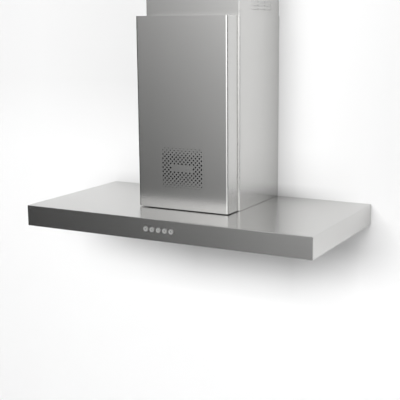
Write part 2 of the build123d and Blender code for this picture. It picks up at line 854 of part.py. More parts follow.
# Blower housing: a spiral of three quarter arcs and a throat, split in the middle
second_centre = (fan_y + scroll_growth, scroll_z)
third_centre = (fan_y + scroll_growth, scroll_z + scroll_growth)
second_radius = scroll_radius + scroll_growth
third_radius = scroll_radius + 2 * scroll_growth
lug_reach = lug_radius - lug_sink
diagonal = sin(radians(45))
lug_points = [
    (fan_y - (scroll_radius + lug_reach) * diagonal, scroll_z + (scroll_radius + lug_reach) * diagonal),
    (
        second_centre[0] - (second_radius + lug_reach) * diagonal,
        second_centre[1] - (second_radius + lug_reach) * diagonal,
    ),
    (
        third_centre[0] + (third_radius + lug_reach) * diagonal,
        third_centre[1] - (third_radius + lug_reach) * diagonal,
    ),
]


def make_scroll(side, word):
    with BuildPart() as half:
        with BuildSketch(Plane.YZ) as outline:
            with BuildLine():
                first = CenterArc((fan_y, scroll_z), scroll_radius, 90, 90)
                CenterArc(second_centre, second_radius, 180, 90)
                third = CenterArc(third_centre, third_radius, 270, 90)
                Line(third @ 1, (throat_rear, outlet_z))
                Line((throat_rear, outlet_z), (throat_front, outlet_z))
                Line((throat_front, outlet_z), first @ 0)
            make_face()
        extrude(amount=side * scroll_half)
        with BuildSketch(Plane.YZ):
            with Locations(*lug_points):
                Circle(lug_radius)
        extrude(amount=side * lug_length)
        with BuildSketch(Plane.YZ):
            add(outline.sketch_local)
            offset(amount=-scroll_wall)
            with Locations(((throat_front + throat_rear) / 2, outlet_z)):
                Rectangle(throat_rear - throat_front - 2 * scroll_wall, 4 * scroll_wall)
        extrude(amount=side * (scroll_half - scroll_wall), mode=Mode.SUBTRACT)
        with BuildSketch(Plane.YZ.offset(side * (scroll_half - scroll_wall))):
            with Locations((wheel_y, wheel_z)):
                Circle(inlet_radius + inlet_lip)
        extrude(amount=side * (scroll_wall + inlet_lip_reach))
        with BuildSketch(Plane.YZ.offset(side * (scroll_half - scroll_wall))):
            with Locations((wheel_y, wheel_z)):
                Circle(inlet_radius)
        extrude(amount=side * (scroll_wall + inlet_lip_reach), mode=Mode.SUBTRACT)
        with BuildSketch(Plane.YZ):
            with Locations(*lug_points):
                Circle(screw_hole)
        extrude(amount=side * lug_length, mode=Mode.SUBTRACT)
        with BuildSketch(Plane.XZ.offset(scroll_rear)):
            with Locations(*mount_points):
                Circle(screw_hole)
        extrude(amount=scroll_wall, mode=Mode.SUBTRACT)
        if side < 0:
            with BuildSketch(Plane.YZ.offset(-scroll_half)):
                with Locations(*bush_points):
                    Circle(screw_hole)
            extrude(amount=scroll_wall, mode=Mode.SUBTRACT)
    save(half, f"scroll_{word}")


make_scroll(-1, "left")
make_scroll(1, "right")

# Rubber mounts between the blower housing and the back frame
with BuildPart() as blower_mounts:
    with BuildSketch(Plane.XZ.offset(frame_sheet)):
        with Locations(*mount_points):
            Circle(mount_radius)
            Circle(screw_hole, mode=Mode.SUBTRACT)
    extrude(amount=scroll_rear - frame_sheet)
save(blower_mounts, "blower_mounts")

# Fan wheel: a ring of forward-curved blades on a disc, drawn from one blade
blade_end_y = wheel_radius * cos(radians(blade_turn))
blade_end_z = wheel_radius * sin(radians(blade_turn))
with BuildSketch() as blade:
    with BuildLine():
        inside = SagittaArc((wheel_eye, 0), (blade_end_y, blade_end_z), blade_sagitta)
        outer_end = (blade_end_y, blade_end_z + blade_thick)
        outside = SagittaArc((wheel_eye, blade_thick), outer_end, blade_sagitta)
        Line(inside @ 0, outside @ 0)
        Line(inside @ 1, outside @ 1)
    make_face()

with BuildPart() as impeller:
    with BuildSketch(Plane.YZ.offset(-wheel_half + wheel_ring_thick / 2)):
        with Locations((wheel_y, wheel_z)):
            with PolarLocations(0, blade_count):
                add(blade.sketch)
    extrude(amount=2 * wheel_half - wheel_ring_thick)
    with BuildSketch(Plane.YZ.offset(-wheel_disc / 2)):
        with Locations((wheel_y, wheel_z)):
            Circle(wheel_radius)
    extrude(amount=wheel_disc)
    for ring_x in (-wheel_half, wheel_half - wheel_ring_thick):
        with BuildSketch(Plane.YZ.offset(ring_x)):
            with Locations((wheel_y, wheel_z)):
                Circle(wheel_radius + blade_thick)
                Circle(wheel_radius - wheel_ring, mode=Mode.SUBTRACT)
        extrude(amount=wheel_ring_thick)
    with BuildSketch(Plane.YZ.offset(-hub_rear)):
        with Locations((wheel_y, wheel_z)):
            Circle(hub_radius)
    extrude(amount=hub_rear + hub_front)
    with BuildSketch(Plane.YZ.offset(-hub_rear)):
        with Locations((wheel_y, wheel_z)):
            Circle(shaft_radius + hub_gap)
    extrude(amount=hub_rear + hub_front, mode=Mode.SUBTRACT)
save(impeller, "impeller")

with BuildPart() as motor_shaft:
    with BuildSketch(Plane.YZ.offset(motor_front - shaft_depth)):
        with Locations((wheel_y, wheel_z)):
            Circle(shaft_radius)
    extrude(amount=shaft_front - motor_front + shaft_depth)
    chamfer(motor_shaft.faces().sort_by(Axis.X)[-1].edges(), shaft_radius / 8)
save(motor_shaft, "motor_shaft")

# Motor: a round body with a band of laminations and a blind bore for its shaft
with BuildPart() as motor:
    with BuildSketch(Plane.YZ.offset(motor_rear)):
        with Locations((wheel_y, wheel_z)):
            Circle(motor_end_radius)
    extrude(amount=motor_length)
    with BuildSketch(Plane.YZ.offset(motor_rear + motor_end)):
        with Locations((wheel_y, wheel_z)):
            Circle(motor_radius)
    extrude(amount=motor_length - 2 * motor_end)
    with BuildSketch(Plane.YZ.offset(motor_rear + (motor_length - motor_band_width) / 2)):
        with Locations((wheel_y, wheel_z)):
            Circle(motor_band)
    extrude(amount=motor_band_width)
    with BuildSketch(Plane.YZ.offset(motor_front)):
        with Locations((wheel_y, wheel_z)):
            Circle(shaft_radius + running_gap)
    extrude(amount=-shaft_depth - running_gap, mode=Mode.SUBTRACT)
save(motor, "motor")

# Motor bracket: a disc with three arms, on rubber bushes round the left inlet
with BuildPart() as motor_bracket:
    with BuildSketch(Plane.YZ.offset(motor_rear)):
        with Locations((wheel_y, wheel_z)):
            Circle(arm_hub)
            with PolarLocations(bush_circle / 2, bush_count, start_angle=90):
                Rectangle(bush_circle, arm_width)
        with Locations(*bush_points):
            Circle(arm_width / 2)
            Circle(screw_hole, mode=Mode.SUBTRACT)
    extrude(amount=-arm_thick)
save(motor_bracket, "motor_bracket")

with BuildPart() as motor_bushes:
    with BuildSketch(Plane.YZ.offset(-scroll_half)):
        with Locations(*bush_points):
            Circle(bush_radius)
            Circle(screw_hole, mode=Mode.SUBTRACT)
    extrude(amount=-bush_length)
save(motor_bushes, "motor_bushes")

# Outlet: a flange on the blower's throat, a transition from square to round and the duct spigot
throat_middle = (throat_front + throat_rear) / 2
throat_depth = throat_rear - throat_front
with BuildPart() as outlet_collar:
    with BuildSketch(Plane.XY.offset(outlet_z)):
        with Locations((0, throat_middle)):
            Rectangle(2 * scroll_half, throat_depth)
    with BuildSketch(Plane.XY.offset(spigot_z)):
        with Locations((0, spigot_y)):
            Circle(spigot_radius)
    loft()
    with BuildSketch(Plane.XY.offset(outlet_z)):
        with Locations((0, throat_middle + (collar_rear - collar_margin) / 2)):
            Rectangle(2 * (scroll_half + collar_margin), throat_depth + collar_margin + collar_rear)
    extrude(amount=collar_flange)
    with BuildSketch(Plane.XY.offset(spigot_z)):
        with Locations((0, spigot_y)):
            Circle(spigot_radius)
    extrude(amount=spigot_length)
    with BuildSketch(Plane.XY.offset(outlet_z)):
        with Locations((0, throat_middle)):
            Rectangle(2 * (scroll_half - scroll_wall), throat_depth - 2 * scroll_wall)
    with BuildSketch(Plane.XY.offset(spigot_z)):
        with Locations((0, spigot_y)):
            Circle(spigot_inner)
    loft(mode=Mode.SUBTRACT)
    with BuildSketch(Plane.XY.offset(spigot_z)):
        with Locations((0, spigot_y)):
            Circle(spigot_inner)
    extrude(amount=spigot_length, mode=Mode.SUBTRACT)
    with BuildSketch(Plane.XY.offset(pin_z - flap_thick / 2 - flap_stop_gap)):
        with Locations((0, spigot_y)):
            Circle(spigot_inner + spigot_wall / 2)
            Circle(spigot_inner - flap_stop, mode=Mode.SUBTRACT)
    extrude(amount=-flap_stop_thick)
    with BuildSketch(Plane.YZ):
        with Locations((spigot_y, pin_z)):
            with GridLocations(2 * flap_offset, 0, 2, 1):
                Circle(pin_radius + running_gap)
    extrude(amount=spigot_radius, both=True, mode=Mode.SUBTRACT)
save(outlet_collar, "outlet_collar")

# Non-return flaps: two half discs, each on its own pin
with BuildPart() as flap_pins:
    with BuildSketch(Plane.YZ):
        with Locations((spigot_y, pin_z)):
            with GridLocations(2 * flap_offset, 0, 2, 1):
                Circle(pin_radius)
    extrude(amount=spigot_radius - pin_inset, both=True)
save(flap_pins, "flap_pins")


def make_flap(side, word):
    with BuildPart() as flap:
        with BuildSketch(Plane.XY.offset(pin_z - flap_thick / 2)):
            with Locations((0, spigot_y)):
                Circle(spigot_inner - flap_gap)
            with Locations((0, spigot_y + side * (flap_offset + flap_start - spigot_radius))):
                Rectangle(2 * spigot_radius, 2 * spigot_radius, mode=Mode.SUBTRACT)
        extrude(amount=flap_thick)
        with BuildSketch(Plane.YZ):
            with Locations((spigot_y + side * flap_offset, pin_z)):
                Circle(flap_knuckle)
        extrude(amount=flap_knuckle_length / 2, both=True)
        with BuildSketch(Plane.YZ):
            with Locations((spigot_y + side * flap_offset, pin_z)):
                Circle(pin_radius + running_gap)
        extrude(amount=spigot_radius, both=True, mode=Mode.SUBTRACT)
    save(flap, f"damper_flap_{word}")


make_flap(-1, "front")
make_flap(1, "rear")

# Electrics: a box with a lid on the back frame, a cable gland in its top and the motor's capacitor
with BuildPart() as electronics_box:
    with BuildSketch(Plane.XZ.offset(-box_rear)):
        with Locations((box_x, box_z + box_height / 2)):
            Rectangle(box_width, box_height)
    extrude(amount=box_depth)
    offset(
        amount=-box_wall,
        openings=electronics_box.faces().sort_by(Axis.Y)[0],
        kind=Kind.INTERSECTION,
    )
    with BuildSketch(Plane.XY.offset(box_top)):
        with Locations((box_x, -gland_setback)):
            Circle(gland_hole)
    extrude(amount=-box_wall, mode=Mode.SUBTRACT)
save(electronics_box, "electronics_box")

with BuildPart() as electronics_lid:
    with BuildSketch(Plane.XZ.offset(-box_front)):
        with Locations((box_x, box_z + box_height / 2)):
            Rectangle(box_width, box_height)
    extrude(amount=lid_thick)
    with BuildSketch(Plane.XZ.offset(-box_front)):
        with Locations((box_x, box_z + box_height / 2)):
            Rectangle(box_width - 2 * (box_wall + lid_gap), box_height - 2 * (box_wall + lid_gap))
            Rectangle(
                box_width - 2 * (2 * box_wall + lid_gap),
                box_height - 2 * (2 * box_wall + lid_gap),
                mode=Mode.SUBTRACT,
            )
    extrude(amount=-lid_lip)
save(electronics_lid, "electronics_lid")

with BuildPart() as cable_gland:
    with BuildSketch(Plane.XY.offset(box_top)):
        with Locations((box_x, -gland_setback)):
            RegularPolygon(gland_flats / 2, 6, major_radius=False)
    extrude(amount=gland_collar)
    with BuildSketch(Plane.XY.offset(box_top - 2 * box_wall)):
        with Locations((box_x, -gland_setback)):
            Circle(gland_hole - lid_gap)
    extrude(amount=2 * box_wall + gland_neck)
    with BuildSketch(Plane.XY.offset(box_top + gland_collar)):
        with Locations((box_x, -gland_setback)):
            Circle(gland_cap)
    extrude(amount=gland_neck - gland_collar)
    fillet(cable_gland.faces().sort_by(Axis.Z)[-1].edges(), gland_cap / 6)
    with BuildSketch(Plane.XY.offset(box_top - 2 * box_wall)):
        with Locations((box_x, -gland_setback)):
            Circle(gland_bore)
    extrude(amount=2 * box_wall + gland_neck, mode=Mode.SUBTRACT)
save(cable_gland, "cable_gland")

with BuildPart() as capacitor:
    with BuildSketch(Plane.XZ.offset(frame_sheet)):
        with Locations((capacitor_x, capacitor_z)):
            Circle(capacitor_radius)
    extrude(amount=capacitor_length)
    fillet(capacitor.faces().sort_by(Axis.Y)[0].edges(), capacitor_round)
save(capacitor, "capacitor")


# Screws: a tapered head with a cross recess on one side of the plane, and a shank on the other
def make_screws(name, plane, points, length, side):
    with BuildPart() as screws:
        with BuildSketch(plane):
            with Locations(*points):
                Circle(screw_head)
        extrude(amount=side * screw_head_height, taper=head_taper)
        with BuildSketch(plane):
            with Locations(*points):
                Circle(screw_radius)
        extrude(amount=-side * length)
        with BuildSketch(plane.offset(side * screw_head_height)):
            with Locations(*points):
                Rectangle(recess_length, recess_width)
                Rectangle(recess_width, recess_length)
        extrude(amount=-side * recess_depth, mode=Mode.SUBTRACT)
    save(screws, name)


mount_screw = scroll_wall + scroll_rear - tip_gap
motor_screw = arm_thick + bush_length + scroll_wall
make_screws("chimney_screws", Plane.XY.offset(canopy_top + chimney_sheet), foot_points, screw_length, 1)
make_screws("frame_screws", Plane.XY.offset(canopy_top + frame_sheet), frame_points, screw_length, 1)
make_screws("tray_screws", Plane.XY.offset(tray_bottom), side_tabs + long_tabs, screw_length, -1)
make_screws("cover_screws", Plane.XZ.offset(chimney_depth - chimney_sheet), cover_points, screw_length, -1)
make_screws("scroll_screws", Plane.YZ.offset(lug_length), lug_points, 2 * lug_length, 1)
make_screws("mount_screws", Plane.XZ.offset(scroll_rear + scroll_wall), mount_points, mount_screw, 1)
make_screws("motor_screws", Plane.YZ.offset(motor_rear - arm_thick), bush_points, motor_screw, -1)

with BuildPart() as bracket_screws:
    for side in (-1, 1):
        with BuildSketch(Plane.YZ.offset(side * upper_width / 2)):
            with Locations(bracket_screw):
                Circle(screw_head)
        extrude(amount=side * screw_head_height, taper=head_taper)
        with BuildSketch(Plane.YZ.offset(side * upper_width / 2)):
            with Locations(bracket_screw):
                Circle(screw_radius)
        extrude(amount=-side * screw_length)
        with BuildSketch(Plane.YZ.offset(side * (upper_width / 2 + screw_head_height))):
            with Locations(bracket_screw):
                Rectangle(recess_length, recess_width)
                Rectangle(recess_width, recess_length)
        extrude(amount=-side * recess_depth, mode=Mode.SUBTRACT)
save(bracket_screws, "bracket_screws")
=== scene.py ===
import json
import math

import bmesh
import bpy
from mathutils import Matrix, Vector


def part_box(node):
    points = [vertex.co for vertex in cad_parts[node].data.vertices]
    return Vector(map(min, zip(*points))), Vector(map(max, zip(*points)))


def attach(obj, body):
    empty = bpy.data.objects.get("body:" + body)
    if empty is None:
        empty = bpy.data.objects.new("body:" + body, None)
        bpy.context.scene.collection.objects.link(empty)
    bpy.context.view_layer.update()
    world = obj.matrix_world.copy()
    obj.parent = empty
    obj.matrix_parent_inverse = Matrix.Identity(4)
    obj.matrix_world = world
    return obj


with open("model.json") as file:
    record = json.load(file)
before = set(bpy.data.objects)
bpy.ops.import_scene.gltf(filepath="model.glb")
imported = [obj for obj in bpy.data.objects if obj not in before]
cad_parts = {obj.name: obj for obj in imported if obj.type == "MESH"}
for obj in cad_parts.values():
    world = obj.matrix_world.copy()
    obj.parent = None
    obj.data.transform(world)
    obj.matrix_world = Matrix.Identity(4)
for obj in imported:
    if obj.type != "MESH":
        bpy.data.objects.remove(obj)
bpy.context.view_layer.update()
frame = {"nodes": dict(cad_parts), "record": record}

# Looks of a wall mount range hood: brushed steel casing, perforated front cover, push buttons
# and grease filters. Lengths are in metres, in the frame of the part: X to the right, Y to the wall, Z up.

# Camera, as the picture was taken
CAMERA_PLACE = (1.22761, -2.45117, 0.57106)
CAMERA_YAW = -27.542
CAMERA_PITCH = -11.0945
CAMERA_ROLL = -0.249
LENS = 79.418
SENSOR = 36.0
SHIFT_X = -0.05

# Room: the hood hangs at its usual height above the floor
FLOOR_LEVEL = -1.55
FLOOR_HALF = 6.0
FLOOR_FRONT = -2.2
WALL_TOP = 5.0
WALL_GAP = 0.0008
WALL_GREY = 0.8
WALL_LIFT = 0.12
WALL_ROUGH = 0.9
WALL_SHEEN = 0.1

# Shade painted into the wall's colour and glow: its depth close to the hood, to the hood's left and right
# and under it, and the places across and up the wall between which each one comes and goes
CONTACT_REACH = 0.16
CONTACT_DEPTH = 0.68
CONTACT_ABOVE = 0.66
CONTACT_COMES = (-0.75, -0.1)
CONTACT_GOES = (0.2, 0.42)
CONTACT_THINS = (0.0, 0.1)
LEFT_SHADE = 0.13
LEFT_SHADE_FAR = 0.07
LEFT_COMES = (-0.75, -0.4)
LEFT_GOES = (-0.35, 0.15)
LEFT_RISES = (0.15, 0.4)
RIGHT_SHADE = 0.1
RIGHT_COMES = (0.2, 0.5)
RIGHT_RISES = (-0.1, 0.0)
UNDER_SHADE = 0.43
UNDER_COMES = (-0.6, -0.14)
UNDER_GOES = (0.2, 0.42)
UNDER_RISES = (-0.29, -0.15)

# Light
KEY_PLACE = (0.3, -4.2, 1.25)
KEY_AIM = (0.0, 0.0, 0.3)
KEY_WIDE = 2.6
KEY_TALL = 1.2
KEY_POWER = 160.0
ROOM_GLOW = 0.33
BACKGROUND_GLOW = 0.92

# Brightness that shiny metal sees round the studio, by degrees to the right of the front and by degrees up,
# and the most that it may see, by degrees up
STUDIO_ROUND = [
    (-180, 0.5), (-95, 0.1), (-60, 0.03), (-45, 0.03), (-40, 0.055), (-36, 0.112), (-33, 0.197),
    (-30, 0.33), (-27, 0.53), (-22, 1.06), (-15, 1.65), (0, 2.4), (20, 2.7), (38, 2.7), (54, 0.15),
    (100, 0.12), (180, 0.5),
]
STUDIO_UP = [
    (-90, 0.15), (-20, 0.17), (-13, 0.27), (-10, 0.455), (-5, 0.765), (0, 0.94), (3, 1.03), (10, 4.4),
    (20, 4.8), (50, 2.2), (90, 1.8),
]
STUDIO_MOST = [(-90, 3.0), (3, 3.0), (9, 2.2), (25, 1.65), (50, 0.9), (90, 0.8)]

# Buttons: their places come from the frame, and a darker rim runs round each bright face
first_low, first_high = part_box("button_light")
second_low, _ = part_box("button_off")
BUTTON_PITCH = second_low.x - first_low.x
BUTTON_HEIGHT = (first_low.z + first_high.z) / 2
BUTTON_FACE = 0.0067
BUTTON_RIM_TONE = (0.4, 0.4, 0.4)
BUTTON_RIM_BLEND = 0.0003
BUTTON_DISH = 0.0004

# Finishes: how far worn edges reach, how fine they break up and how much lighter they are,
# the height of the grain on metal and plastic, and how much the gloss of plastic changes
EDGE_REACH = 0.0012
EDGE_GRAIN = 300.0
EDGE_LIGHTER = 1.35
METAL_RELIEF = 0.0002
PLASTIC_RELIEF = 0.0003
PLASTIC_GLOSS_CHANGE = 0.06
GLASS_DARK = (0.9, 0.92, 0.91)
GLASS_LIGHT = (0.97, 0.98, 0.97)
GLASS_CLEAR = 0.85
GLASS_BEND = 1.49
GLASS_FROST = (0.28, 0.36)
GLASS_GRAIN = 2600.0
GLASS_BUMP = 0.12


# Shader helpers


def link(tree, start, end):
    tree.links.new(start, end)


def new_group(name, inputs, outputs, kind="ShaderNodeTree"):
    """A node group with named sockets: inputs are (name, type, default), outputs are (name, type)."""
    tree = bpy.data.node_groups.new(name, kind)
    for label, socket_kind, value in inputs:
        socket = tree.interface.new_socket(label, in_out="INPUT", socket_type=socket_kind)
        if value is not None:
            socket.default_value = value
    for label, socket_kind in outputs:
        tree.interface.new_socket(label, in_out="OUTPUT", socket_type=socket_kind)
    return tree, tree.nodes.new("NodeGroupInput"), tree.nodes.new("NodeGroupOutput")


def feed(tree, value, socket):
    if isinstance(value, (int, float, tuple)):
        socket.default_value = value
    else:
        link(tree, value, socket)


def math_node(tree, operation, *values, clamp=False):
    node = tree.nodes.new("ShaderNodeMath")
    node.operation = operation
    node.use_clamp = clamp
    for socket, value in zip(node.inputs, values):
        feed(tree, value, socket)
    return node.outputs[0]


def product(tree, first, *others):
    for other in others:
        first = math_node(tree, "MULTIPLY", first, other)
    return first


def vector_node(tree, operation, output, *values):
    node = tree.nodes.new("ShaderNodeVectorMath")
    node.operation = operation
    for socket, value in zip(node.inputs, values):
        feed(tree, value, socket)
    return node.outputs[output]


def scaled(tree, vector, factor):
    node = tree.nodes.new("ShaderNodeVectorMath")
    node.operation = "SCALE"
    link(tree, vector, node.inputs[0])
    feed(tree, factor, node.inputs["Scale"])
    return node.outputs[0]


def joined(tree, x, y, z=0.0):
    node = tree.nodes.new("ShaderNodeCombineXYZ")
    for socket, value in zip(node.inputs, (x, y, z)):
        feed(tree, value, socket)
    return node.outputs[0]


def split(tree, vector):
    node = tree.nodes.new("ShaderNodeSeparateXYZ")
    link(tree, vector, node.inputs[0])
    return node.outputs["X"], node.outputs["Y"], node.outputs["Z"]


def noise(tree, vector, scale, detail=2.0, roughness=0.5):
    node = tree.nodes.new("ShaderNodeTexNoise")
    node.inputs["Scale"].default_value = scale
    node.inputs["Detail"].default_value = detail
    node.inputs["Roughness"].default_value = roughness
    link(tree, vector, node.inputs["Vector"])
    return node.outputs["Fac"]


def spread(tree, value, low, high, start=0.0, end=1.0):
    """value from start to end spread over low to high."""
    node = tree.nodes.new("ShaderNodeMapRange")
    node.inputs["From Min"].default_value = start
    node.inputs["From Max"].default_value = end
    node.inputs["To Min"].default_value = low
    node.inputs["To Max"].default_value = high
    link(tree, value, node.inputs["Value"])
    return node.outputs["Result"]


FLOAT, VECTOR = "NodeSocketFloat", "NodeSocketVector"


def brushed_grain_group():
    """Grinding lines that run level round the casing, and left to right on level faces."""
    tree, given, made = new_group(
        "brushed_grain",
        [("Along", FLOAT, 6.0), ("Across", FLOAT, 900.0)],
        [("Streak", FLOAT), ("Cloud", FLOAT)],
    )
    place = tree.nodes.new("ShaderNodeTexCoord")
    facing = tree.nodes.new("ShaderNodeNewGeometry")
    x, y, z = split(tree, place.outputs["Object"])
    turn_x, _, turn_z = split(tree, facing.outputs["Normal"])
    side = math_node(tree, "ABSOLUTE", turn_x)
    level = math_node(tree, "ABSOLUTE", turn_z)
    along_x = product(tree, x, math_node(tree, "SUBTRACT", 1.0, side))
    along_y = product(tree, y, side)
    across_z = product(tree, z, math_node(tree, "SUBTRACT", 1.0, level))
    across_y = product(tree, y, level)
    along = product(tree, math_node(tree, "ADD", along_x, along_y), given.outputs["Along"])
    across = product(tree, math_node(tree, "ADD", across_z, across_y), given.outputs["Across"])
    streak = noise(tree, joined(tree, along, across), 1.0, detail=3.0, roughness=0.6)
    link(tree, streak, made.inputs["Streak"])
    link(tree, noise(tree, place.outputs["Object"], 4.0, detail=3.0), made.inputs["Cloud"])
    return tree


def zinc_spangle_group():
    """Frost flowers of a zinc coat: one tone for each crystal."""
    tree, given, made = new_group(
        "zinc_spangle",
        [("Size", FLOAT, 150.0)],
        [("Streak", FLOAT), ("Cloud", FLOAT)],
    )
    place = tree.nodes.new("ShaderNodeTexCoord")
    cells = tree.nodes.new("ShaderNodeTexVoronoi")
    cells.inputs["Scale"].default_value = 1.0
    link(tree, scaled(tree, place.outputs["Object"], given.outputs["Size"]), cells.inputs["Vector"])
    link(tree, split(tree, cells.outputs["Color"])[0], made.inputs["Streak"])
    link(tree, noise(tree, place.outputs["Object"], 20.0, detail=3.0), made.inputs["Cloud"])
    return tree


def turned_rings_group():
    """Fine rings of a turned face, about the middle of each button in the row."""
    tree, given, made = new_group(
        "turned_rings",
        [
            ("Pitch", FLOAT, 0.02),
            ("Height", FLOAT, 0.03),
            ("Fineness", FLOAT, 4000.0),
            ("Face", FLOAT, 0.006),
        ],
        [("Streak", FLOAT), ("Cloud", FLOAT), ("Rim", FLOAT)],
    )
    place = tree.nodes.new("ShaderNodeTexCoord")
    x, _, z = split(tree, place.outputs["Object"])
    half = product(tree, given.outputs["Pitch"], 0.5)
    near_x = math_node(tree, "WRAP", x, half, product(tree, half, -1.0))
    near_z = math_node(tree, "SUBTRACT", z, given.outputs["Height"])
    reach = vector_node(tree, "LENGTH", "Value", joined(tree, near_x, near_z))
    ring = product(tree, reach, given.outputs["Fineness"])
    link(tree, noise(tree, joined(tree, ring, 0.0), 1.0), made.inputs["Streak"])
    link(tree, noise(tree, place.outputs["Object"], 60.0), made.inputs["Cloud"])
    past = math_node(tree, "SUBTRACT", reach, given.outputs["Face"])
    link(tree, spread(tree, past, 0.0, 1.0, 0.0, BUTTON_RIM_BLEND), made.inputs["Rim"])
    return tree


def edge_wear_group():
    """A mask that is bright along worn edges, broken up by noise."""
    tree, given, made = new_group(
        "edge_wear",
        [("Radius", FLOAT, 0.001), ("Grain", FLOAT, 400.0)],
        [("Mask", FLOAT)],
    )
    bevel = tree.nodes.new("ShaderNodeBevel")
    bevel.samples = 4
    link(tree, given.outputs["Radius"], bevel.inputs["Radius"])
    plain = tree.nodes.new("ShaderNodeNewGeometry")
    dot = vector_node(tree, "DOT_PRODUCT", "Value", bevel.outputs["Normal"], plain.outputs["Normal"])
    bend = math_node(tree, "MULTIPLY", math_node(tree, "SUBTRACT", 1.0, dot), 4.0, clamp=True)
    place = tree.nodes.new("ShaderNodeTexCoord")
    broken = noise(tree, scaled(tree, place.outputs["Object"], given.outputs["Grain"]), 1.0, detail=3.0)
    link(tree, math_node(tree, "MULTIPLY", bend, broken, clamp=True), made.inputs["Mask"])
    return tree


def moulded_grain_group():
    """Fine spark grain and slight tone changes of a moulded surface."""
    tree, given, made = new_group(
        "moulded_grain",
        [("Grain", FLOAT, 1800.0)],
        [("Height", FLOAT), ("Tone", FLOAT)],
    )
    place = tree.nodes.new("ShaderNodeTexCoord")
    fine = scaled(tree, place.outputs["Object"], given.outputs["Grain"])
    link(tree, noise(tree, fine, 1.0), made.inputs["Height"])
    link(tree, noise(tree, place.outputs["Object"], 14.0, detail=3.0), made.inputs["Tone"])
    return tree


BRUSHED = brushed_grain_group()
SPANGLE = zinc_spangle_group()
RINGS = turned_rings_group()
WEAR = edge_wear_group()
MOULD = moulded_grain_group()


def use_group(tree, group, **values):
    node = tree.nodes.new("ShaderNodeGroup")
    node.node_tree = group
    for label, value in values.items():
        node.inputs[label].default_value = value
    return node


def tinted(tree, value, dark, light):
    """A colour between dark and light by value."""
    ramp = tree.nodes.new("ShaderNodeMix")
    ramp.data_type = "RGBA"
    ramp.inputs["A"].default_value = (*dark, 1.0)
    ramp.inputs["B"].default_value = (*light, 1.0)
    link(tree, value, ramp.inputs["Factor"])
    return ramp.outputs["Result"]


def shade(colour, factor):
    return tuple(min(1.0, c * factor) for c in colour)


def blank_material(name):
    material = bpy.data.materials.new(name)
    material.use_nodes = True
    tree = material.node_tree
    return material, tree, tree.nodes["Principled BSDF"]


def bumped(tree, principled, height, strength, distance):
    bump = tree.nodes.new("ShaderNodeBump")
    bump.inputs["Strength"].default_value = strength
    bump.inputs["Distance"].default_value = distance
    link(tree, height, bump.inputs["Height"])
    link(tree, bump.outputs["Normal"], principled.inputs["Normal"])


def metal_material(name, colour, rough, grain, tone=0.02, bump=0.012, worn=0.1, gloss_change=0.02, **sizes):
    """Bare metal: its grain shows in colour, gloss and relief, and its worn edges are brighter."""
    material, tree, principled = blank_material(name)
    marks = use_group(tree, grain, **sizes)
    wear = use_group(tree, WEAR, Radius=EDGE_REACH, Grain=EDGE_GRAIN)
    streaks = tinted(tree, marks.outputs["Streak"], shade(colour, 1 - tone), shade(colour, 1 + tone))
    edges = tree.nodes.new("ShaderNodeMix")
    edges.data_type = "RGBA"
    link(tree, product(tree, wear.outputs["Mask"], worn), edges.inputs["Factor"])
    link(tree, streaks, edges.inputs["A"])
    edges.inputs["B"].default_value = (*shade(colour, EDGE_LIGHTER), 1.0)
    look = edges.outputs["Result"]
    # Past the bright face of each button, its colour is multiplied darker towards the rim tone.
    if "Rim" in marks.outputs:
        darker_rim = tree.nodes.new("ShaderNodeMix")
        darker_rim.data_type = "RGBA"
        darker_rim.blend_type = "MULTIPLY"
        link(tree, marks.outputs["Rim"], darker_rim.inputs["Factor"])
        link(tree, look, darker_rim.inputs["A"])
        darker_rim.inputs["B"].default_value = (*BUTTON_RIM_TONE, 1.0)
        look = darker_rim.outputs["Result"]
    link(tree, look, principled.inputs["Base Color"])
    principled.inputs["Metallic"].default_value = 1.0
    cloudy = math_node(tree, "ADD", marks.outputs["Streak"], marks.outputs["Cloud"])
    gloss = spread(tree, product(tree, cloudy, 0.5), rough - gloss_change, rough + gloss_change)
    link(tree, gloss, principled.inputs["Roughness"])
    bumped(tree, principled, marks.outputs["Streak"], bump, METAL_RELIEF)
    return material


def plastic_material(name, colour, rough, grain_size=1800.0, bump=0.15, tone=0.12):
    """Moulded plastic, rubber, ink or lacquer, with a fine grain."""
    material, tree, principled = blank_material(name)
    grain = use_group(tree, MOULD, Grain=grain_size)
    tones = tinted(tree, grain.outputs["Tone"], shade(colour, 1 - tone), shade(colour, 1 + tone))
    link(tree, tones, principled.inputs["Base Color"])
    gloss = spread(tree, grain.outputs["Tone"], rough - PLASTIC_GLOSS_CHANGE, rough + PLASTIC_GLOSS_CHANGE)
    link(tree, gloss, principled.inputs["Roughness"])
    bumped(tree, principled, grain.outputs["Height"], bump, PLASTIC_RELIEF)
    return material


def frosted_glass(name):
    material, tree, principled = blank_material(name)
    grain = use_group(tree, MOULD, Grain=GLASS_GRAIN)
    tones = tinted(tree, grain.outputs["Tone"], GLASS_DARK, GLASS_LIGHT)
    link(tree, tones, principled.inputs["Base Color"])
    principled.inputs["Transmission Weight"].default_value = GLASS_CLEAR
    principled.inputs["IOR"].default_value = GLASS_BEND
    link(tree, spread(tree, grain.outputs["Tone"], *GLASS_FROST), principled.inputs["Roughness"])
    bumped(tree, principled, grain.outputs["Height"], GLASS_BUMP, PLASTIC_RELIEF)
    return material


